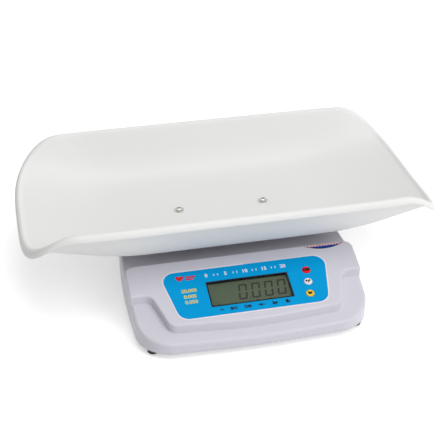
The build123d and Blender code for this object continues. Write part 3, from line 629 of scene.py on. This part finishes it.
numberRow = [(text, label["rulerLeft"] + k * label["rulerStep"], label["rulerY"],
              label["numberHeight"]) for k, text in enumerate(label["numbers"])]
carried(lettering("rulerNumbers", numberRow, printWhite, onFace), "housing")
ticks = []
for k in range(len(label["numbers"]) - 1):
    for fifth in (2, 3):        # two ticks between neighbouring numbers
        x = label["rulerLeft"] + (k + fifth / 5) * label["rulerStep"]
        ticks.append([(x, label["rulerY"] - label["tickHalf"]),
                      (x, label["rulerY"] + label["tickHalf"])])
drawn("rulerTicks", ticks, {"Stroke": label["tickStroke"] * mm, "Material": printWhite},
      onFace, "housing")

# small marks round the display
marks = {
    "markY": -86.6, "markX": [-41.4, -26.3, -8.7, 8.8, 26.1, 42.6], "stroke": 1.4,
    "dash": 2.4, "arrow": 4.16, "arrowHead": [(-1.0, 1.7), (0.9, 0), (-1.0, -1.7)],
    "square": 1.5, "squareAt": 2.3,        # half side, and distance from the mark's middle
    "stem": 2.2, "crossbar": [(0.9, 0), (3.7, 0)],
    "units": ["kg", "lb"], "unitHeight": 7.0, "unitWeight": 0.06,
    "heartX": -84.3, "heartY": -30.4, "heartSize": 5.0, "heartSteps": 48,
    "bars": [(-76.8, -63.4, 1.0), (-76.8, -66.6, -2.4)],        # from x, to x, above the heart
    "barStroke": 2.3,
    "rowX": -76.0, "rows": [("20.000", -51.3), ("0.005", -60.4), ("0.050", -69.0)],
    "rowHeight": 7.2, "rowWeight": 0.03,
}


def markAt(spot, line, aside=0.0):
    # a line about one of the places in the row below the display
    return [(marks["markX"][spot] + aside + x, marks["markY"] + y) for x, y in line]


q, beside = marks["square"], marks["squareAt"]
square = [(0, q), (q, q), (q, -q), (-q, -q), (-q, q), (0, q)]
small = [markAt(0, [(-marks["dash"], 0), (marks["dash"], 0)]),
         markAt(3, [(-marks["arrow"], 0), (marks["arrow"], 0)]),
         markAt(3, marks["arrowHead"])]
small += [markAt(spot, square, aside) for spot in (1, 2) for aside in (-beside, beside)]
small += [markAt(1, [(-beside, -marks["stem"]), (-beside, marks["stem"])]),
          markAt(2, marks["crossbar"])]
drawn("statusMarks", small, {"Stroke": marks["stroke"] * mm, "Material": printBlack},
      onFace, "housing")
units = [(text, x, marks["markY"], marks["unitHeight"])
         for text, x in zip(marks["units"], marks["markX"][4:])]
carried(lettering("unitMarks", units, printBlack, onFace, marks["unitWeight"]),
        "housing")

heart = []
for k in range(marks["heartSteps"]):
    turn = -2 * math.pi * (k + 1) / marks["heartSteps"]
    lobe = (13 * math.cos(turn) - 5 * math.cos(2 * turn) - 2 * math.cos(3 * turn)
            - math.cos(4 * turn)) / 16
    heart.append((marks["heartX"] + marks["heartSize"] * math.sin(turn) ** 3,
                  marks["heartY"] + marks["heartSize"] * lobe))
carried(solidShape("heartMark", heart, printThickness, printRed, onFace),
        "housing")
bars = [[(left, marks["heartY"] + above), (right, marks["heartY"] + above)]
        for left, right, above in marks["bars"]]
drawn("heartBar", bars, {"Stroke": marks["barStroke"] * mm, "Material": printRed},
      onFace, "housing")
rows = [(text, marks["rowX"], y, marks["rowHeight"]) for text, y in marks["rows"]]
carried(lettering("rangeNumbers", rows, printYellow, onFace, marks["rowWeight"]),
        "housing")
print("label prints made")


# the display's polariser sheet lies close under the window, with digits and pointers on it
display = {
    "sheetLift": -3.0 * mm, "sheetThickness": 0.3 * mm, "inset": 0.3,
    "inkThickness": 0.06 * mm,
    "digits": 4, "firstX": -14.75, "pitch": 16.7, "wide": 8.8, "foot": -71.6, "head": -50.1,
    "gap": 1.5,                   # half the break in a zero's upright
    "Slant": 0.146, "Stroke": 2.4 * mm, "corner": 1.1 * mm,
    "dot": (-1.6, -71.8), "dotHalf": 0.8,
    "pointers": [-42.0, 6.9, 23.5], "pointerY": -76.6,
    "pointer": [(-1.5, 1.0), (0, -1.4), (1.5, 1.0)],
}
carried(solidShape("displaySheet", windowField(display["inset"]), display["sheetThickness"],
                   displayFace, panelMatrix(display["sheetLift"])), "housing")
inkPlace = panelMatrix(display["sheetLift"] + display["sheetThickness"] / 2
                       + display["inkThickness"] / 2)
tall = display["head"] - display["foot"]
lower, upper = tall / 2 - display["gap"], tall / 2 + display["gap"]
zeros = []
for k in range(display["digits"]):
    left = display["firstX"] + display["pitch"] * k
    right = left + display["wide"]
    zeros.append([(left, lower), (left, 0), (right, 0), (right, lower)])
    zeros.append([(left, upper), (left, tall), (right, tall), (right, upper)])
drawn("displayDigits", zeros,
      {"Stroke": display["Stroke"], "Slant": display["Slant"], "Corner": display["corner"],
       "Thickness": display["inkThickness"], "Material": digitInk},
      inkPlace @ Matrix.Translation((0, display["foot"] * mm, 0)), "housing")


def inked(name, outline, x, y):
    shape = solidShape(name, [(x + dx, y + dy) for dx, dy in outline], display["inkThickness"],
                       digitInk, inkPlace)
    carried(shape, "housing")


d = display["dotHalf"]
inked("decimalPoint", [(-d, -d), (d, -d), (d, d), (-d, d)], *display["dot"])
for k, x in enumerate(display["pointers"]):
    inked("pointer%d" % (k + 1), display["pointer"], x, display["pointerY"])


# legends on the keys, each riding its own key
legends = {
    # key: (text, x, y, height, slot)
    "key_red": ("ON", 78.4, -41.9, 5.4, "red_plastic"),
    "key_white": ("0.0", 75.95, -60.6, 5.0, "white_plastic"),
    "key_yellow": ("kg", 73.5, -79.0, 5.0, "yellow_plastic"),
}
legendLift = 1.22 * mm
legendWeight = 0.12
for body, (text, x, y, height, slot) in legends.items():
    piece = lettering(body.replace("key_", "legend_"), [(text, x, y, height)], printBlack,
                      panelMatrix(legendLift), legendWeight)
    carried(piece, body)
print("display digits and key legends made")


# corner label: a white band with red marks over a navy one, in a thin dark line
crescent = {
    "left": 84.5, "right": 141.0, "chordY": -2.8, "depth": 7.8, "lift": 0.31,
    "line": 0.8, "lineThickness": 0.06, "lineSteps": 40,
    "navyTop": -5.6, "navyThickness": 0.08, "navySteps": 32,
    "dashes": 12, "dashY": -4.5, "dashLength": 2.3, "dashStroke": 1.6, "dashMargin": 6.5,
}
cMiddle = (crescent["left"] + crescent["right"]) / 2
cHalf = (crescent["right"] - crescent["left"]) / 2
cRadius = (cHalf ** 2 + crescent["depth"] ** 2) / (2 * crescent["depth"])
cCentre = crescent["chordY"] - crescent["depth"] + cRadius


def crescentArc(radius, chord, steps):
    reach = math.acos((cCentre - chord) / radius)
    return [(cMiddle + radius * math.sin(a), cCentre - radius * math.cos(a))
            for a in [reach * (2 * k / steps - 1) for k in range(steps + 1)]]


onCorner = panelMatrix(crescent["lift"] * mm)
rim = crescentArc(cRadius - crescent["line"] / 2 - tuck,
                  crescent["chordY"] - crescent["line"] / 2, crescent["lineSteps"])
drawn("cornerLine", [rim + [rim[0]]],
      {"Stroke": crescent["line"] * mm, "Thickness": crescent["lineThickness"] * mm,
       "Material": printBlack}, onCorner, "housing")
navy = crescentArc(cRadius - crescent["line"], crescent["navyTop"], crescent["navySteps"])
carried(solidShape("cornerBand", navy, crescent["navyThickness"] * mm, printNavy, onCorner),
        "housing")
dashReach = cHalf - crescent["dashMargin"]
dashes = []
for k in range(crescent["dashes"]):
    x = cMiddle + dashReach * (2 * k / (crescent["dashes"] - 1) - 1)
    dashes.append([(x - crescent["dashLength"] / 2, crescent["dashY"]),
                   (x + crescent["dashLength"] / 2, crescent["dashY"])])
drawn("cornerDashes", dashes, {"Stroke": crescent["dashStroke"] * mm, "Material": printRed},
      onCorner, "housing")


# pan-head screws with a cross recess
crown = {"power": 3.2, "narrowing": 0.45}       # how the head's side draws in to its top
shankOverlap = 0.4 * mm                         # the shank reaches into the head
recessDepth = 1.3                               # height of the cutter over the head's


def screwTree():
    tree, given = geometryTree("panScrews", {
        "Head Radius": "Float", "Head Height": "Float", "Shank Radius": "Float",
        "Shank Length": "Float", "Recess": "Float", "Slot": "Float", "Turn": "Float",
        "Tip Over": "Float", "Material": "Material"})

    def op(operation, *values):
        return calc(tree, operation, *values)

    headHeight, shankLength = given["Head Height"], given["Shank Length"]
    cylinder = outOf(tree, "GeometryNodeMeshCylinder", {
        "Vertices": 40, "Side Segments": 8, "Radius": given["Head Radius"],
        "Depth": headHeight})
    x, y, z = split(tree, outOf(tree, "GeometryNodeInputPosition"))
    share = op("ADD", op("DIVIDE", z, headHeight), 0.5)
    drawnIn = op("MULTIPLY", op("POWER", share, crown["power"]), crown["narrowing"])
    narrow = op("SUBTRACT", 1.0, drawnIn)
    head = moved(tree, cylinder, joined(tree, op("MULTIPLY", x, narrow),
                                        op("MULTIPLY", y, narrow),
                                        op("MULTIPLY_ADD", headHeight, 0.5, z)))
    shank = outOf(tree, "GeometryNodeMeshCylinder", {
        "Vertices": 24, "Radius": given["Shank Radius"],
        "Depth": op("ADD", shankLength, shankOverlap)})
    shank = shifted(tree, shank, joined(tree, z=op("MULTIPLY_ADD", shankLength, -0.5,
                                                   shankOverlap / 2)))

    cut = addNode(tree, "GeometryNodeMeshBoolean", {"Mesh 1": head}, operation="DIFFERENCE")
    for across, along in (("Slot", "Recess"), ("Recess", "Slot")):
        size = joined(tree, given[across], given[along],
                      op("MULTIPLY", headHeight, recessDepth))
        cutter = outOf(tree, "GeometryNodeMeshCube", {"Size": size})
        cutter = shifted(tree, cutter, joined(tree, z=headHeight))
        tree.links.new(cutter, cut.inputs["Mesh 2"])

    index = outOf(tree, "GeometryNodeInputIndex")
    turned = joined(tree, given["Tip Over"], z=op("MULTIPLY", index, given["Turn"]))
    placed = outOf(tree, "GeometryNodeInstanceOnPoints", {
        "Points": given["Geometry"], "Instance": gathered(tree, (cut.outputs[0], shank)),
        "Rotation": turned})
    closeTree(tree, placed, given["Material"])
    return tree


screws = {
    # replaced node: (sizes, places in mm, body, slot)
    "tray_screws": ({"Head Radius": 4.3 * mm, "Head Height": 2.9 * mm, "Shank Radius": 2.0 * mm,
                     "Shank Length": 16.9 * mm, "Recess": 5.0 * mm, "Slot": 1.3 * mm,
                     "Turn": 0.7, "Tip Over": 0.0, "Material": brightSteel},
                    [(-58.65, 39.5, 79.15), (58.65, 39.5, 79.15)], "platform", "bright_steel"),
    "case_screws": ({"Head Radius": 2.95 * mm, "Head Height": 2.1 * mm,
                     "Shank Radius": 1.3 * mm, "Shank Length": 6.9 * mm, "Recess": 3.3 * mm,
                     "Slot": 0.8 * mm, "Turn": 0.6, "Tip Over": math.pi, "Material": steel},
                    [(side * x, y, 11.15) for side in (1, -1)
                     for x, y in ((135, -78.5), (127, 59.5), (60, 136.5), (60, -170.0))],
                    "housing", "steel"),
}
screwShape = screwTree()
for node, (values, places, body, slot) in screws.items():
    spots = meshPiece(node.replace("_", "") + "Pan",
                      [(x * mm, y * mm, z * mm) for x, y, z in places], [])
    carried(runTree(spots, screwShape, values), body, node)


# grip ribs on the battery door's outer face, the middle one longest
door = {"ribs": 7, "pitch": 2.6, "half": 14.0, "shorter": 1.2, "y": -63.0, "z": 8.5,
        "stroke": 1.1, "thickness": 0.7}
ribs = []
for k in range(door["ribs"]):
    x = door["half"] - abs(k - door["ribs"] // 2) * door["shorter"]
    y = door["y"] + k * door["pitch"]
    ribs.append([(-x, y), (x, y)])
drawn("doorRibs", ribs,
      {"Stroke": door["stroke"] * mm, "Thickness": door["thickness"] * mm,
       "Material": lavenderCover},
      Matrix.Translation((0, 0, door["z"] * mm)), "battery_door")
print("screws, corner label and door ribs made")

# camera
view = {"place": (-272.8 * mm, -1163.1 * mm, 810.4 * mm), "tilt": 58.5, "turn": -12.7,
        "lens": 85.89, "sensor": 36.0}
cameraData = bpy.data.cameras.new("camera")
cameraData.lens = view["lens"]
cameraData.sensor_width = view["sensor"]
camera = link(bpy.data.objects.new("camera", cameraData))
camera.location = view["place"]
camera.rotation_euler = (math.radians(view["tilt"]), 0, math.radians(view["turn"]))
scene.camera = camera


def seenBy(tree):
    # 1 where the camera looks straight at it, or by a reflection or through the window
    rays = addNode(tree, "ShaderNodeLightPath").outputs
    direct = calc(tree, "MAXIMUM", rays["Is Camera Ray"], rays["Is Glossy Ray"])
    return calc(tree, "MAXIMUM", direct, rays["Is Transmission Ray"])


# a pale floor that keeps the object's shadow
ground = {"half": 6, "color": (0.9, 0.9, 0.9, 1), "glow": 0.45}
floorFinish = bpy.data.materials.new("paleFloor")
floorFinish.use_nodes = True
tree = floorFinish.node_tree
tree.nodes.clear()
matt = outOf(tree, "ShaderNodeBsdfDiffuse", {"Color": ground["color"]})
glow = outOf(tree, "ShaderNodeEmission", {
    "Color": (1, 1, 1, 1), "Strength": calc(tree, "MULTIPLY", seenBy(tree), ground["glow"])})
both = addNode(tree, "ShaderNodeAddShader")
tree.links.new(matt, both.inputs[0])
tree.links.new(glow, both.inputs[1])
tree.links.new(both.outputs[0], tree.nodes.new("ShaderNodeOutputMaterial").inputs[0])
g = ground["half"]
floor = meshPiece("floor", [(-g, -g, 0), (g, -g, 0), (g, g, 0), (-g, g, 0)], [(0, 1, 2, 3)],
                  floorFinish)

# the room is brightest in front and on the right
studio = {"sky": 0.58, "lean": 0.42, "front": 0.14}
world = bpy.data.worlds.new("studio")
scene.world = world
world.use_nodes = True
tree = world.node_tree
tree.nodes.clear()
aim = split(tree, addNode(tree, "ShaderNodeTexCoord").outputs["Generated"])
room = calc(tree, "MULTIPLY_ADD", aim["X"], studio["lean"], studio["sky"])
room = calc(tree, "MULTIPLY_ADD", aim["Y"], -studio["front"], room)
sky = outOf(tree, "ShaderNodeBackground", {
    "Color": (1, 1, 1, 1), "Strength": calc(tree, "MAXIMUM", seenBy(tree), room)})
tree.links.new(sky, tree.nodes.new("ShaderNodeOutputWorld").inputs[0])

lamps = {
    # name: (place, size, power)
    "keyLamp": ((1.1, -1.5, 1.7), 1.0, 9.0),
    "topLamp": ((0.15, -0.45, 2.3), 1.4, 15.0),
    "bellyLamp": ((0.45, -1.5, 0.05), 0.5, 3.0),
}
lampTarget = Vector((0, 0, 0.06))
for name, (place, size, power) in lamps.items():
    data = bpy.data.lights.new(name, "AREA")
    data.size = size
    data.energy = power
    lamp = link(bpy.data.objects.new(name, data))
    lamp.location = place
    lamp.visible_camera = False
    lamp.rotation_euler = (lampTarget - Vector(place)).to_track_quat("-Z", "Y").to_euler()
scene.view_settings.view_transform = "Standard"
print("stage set")
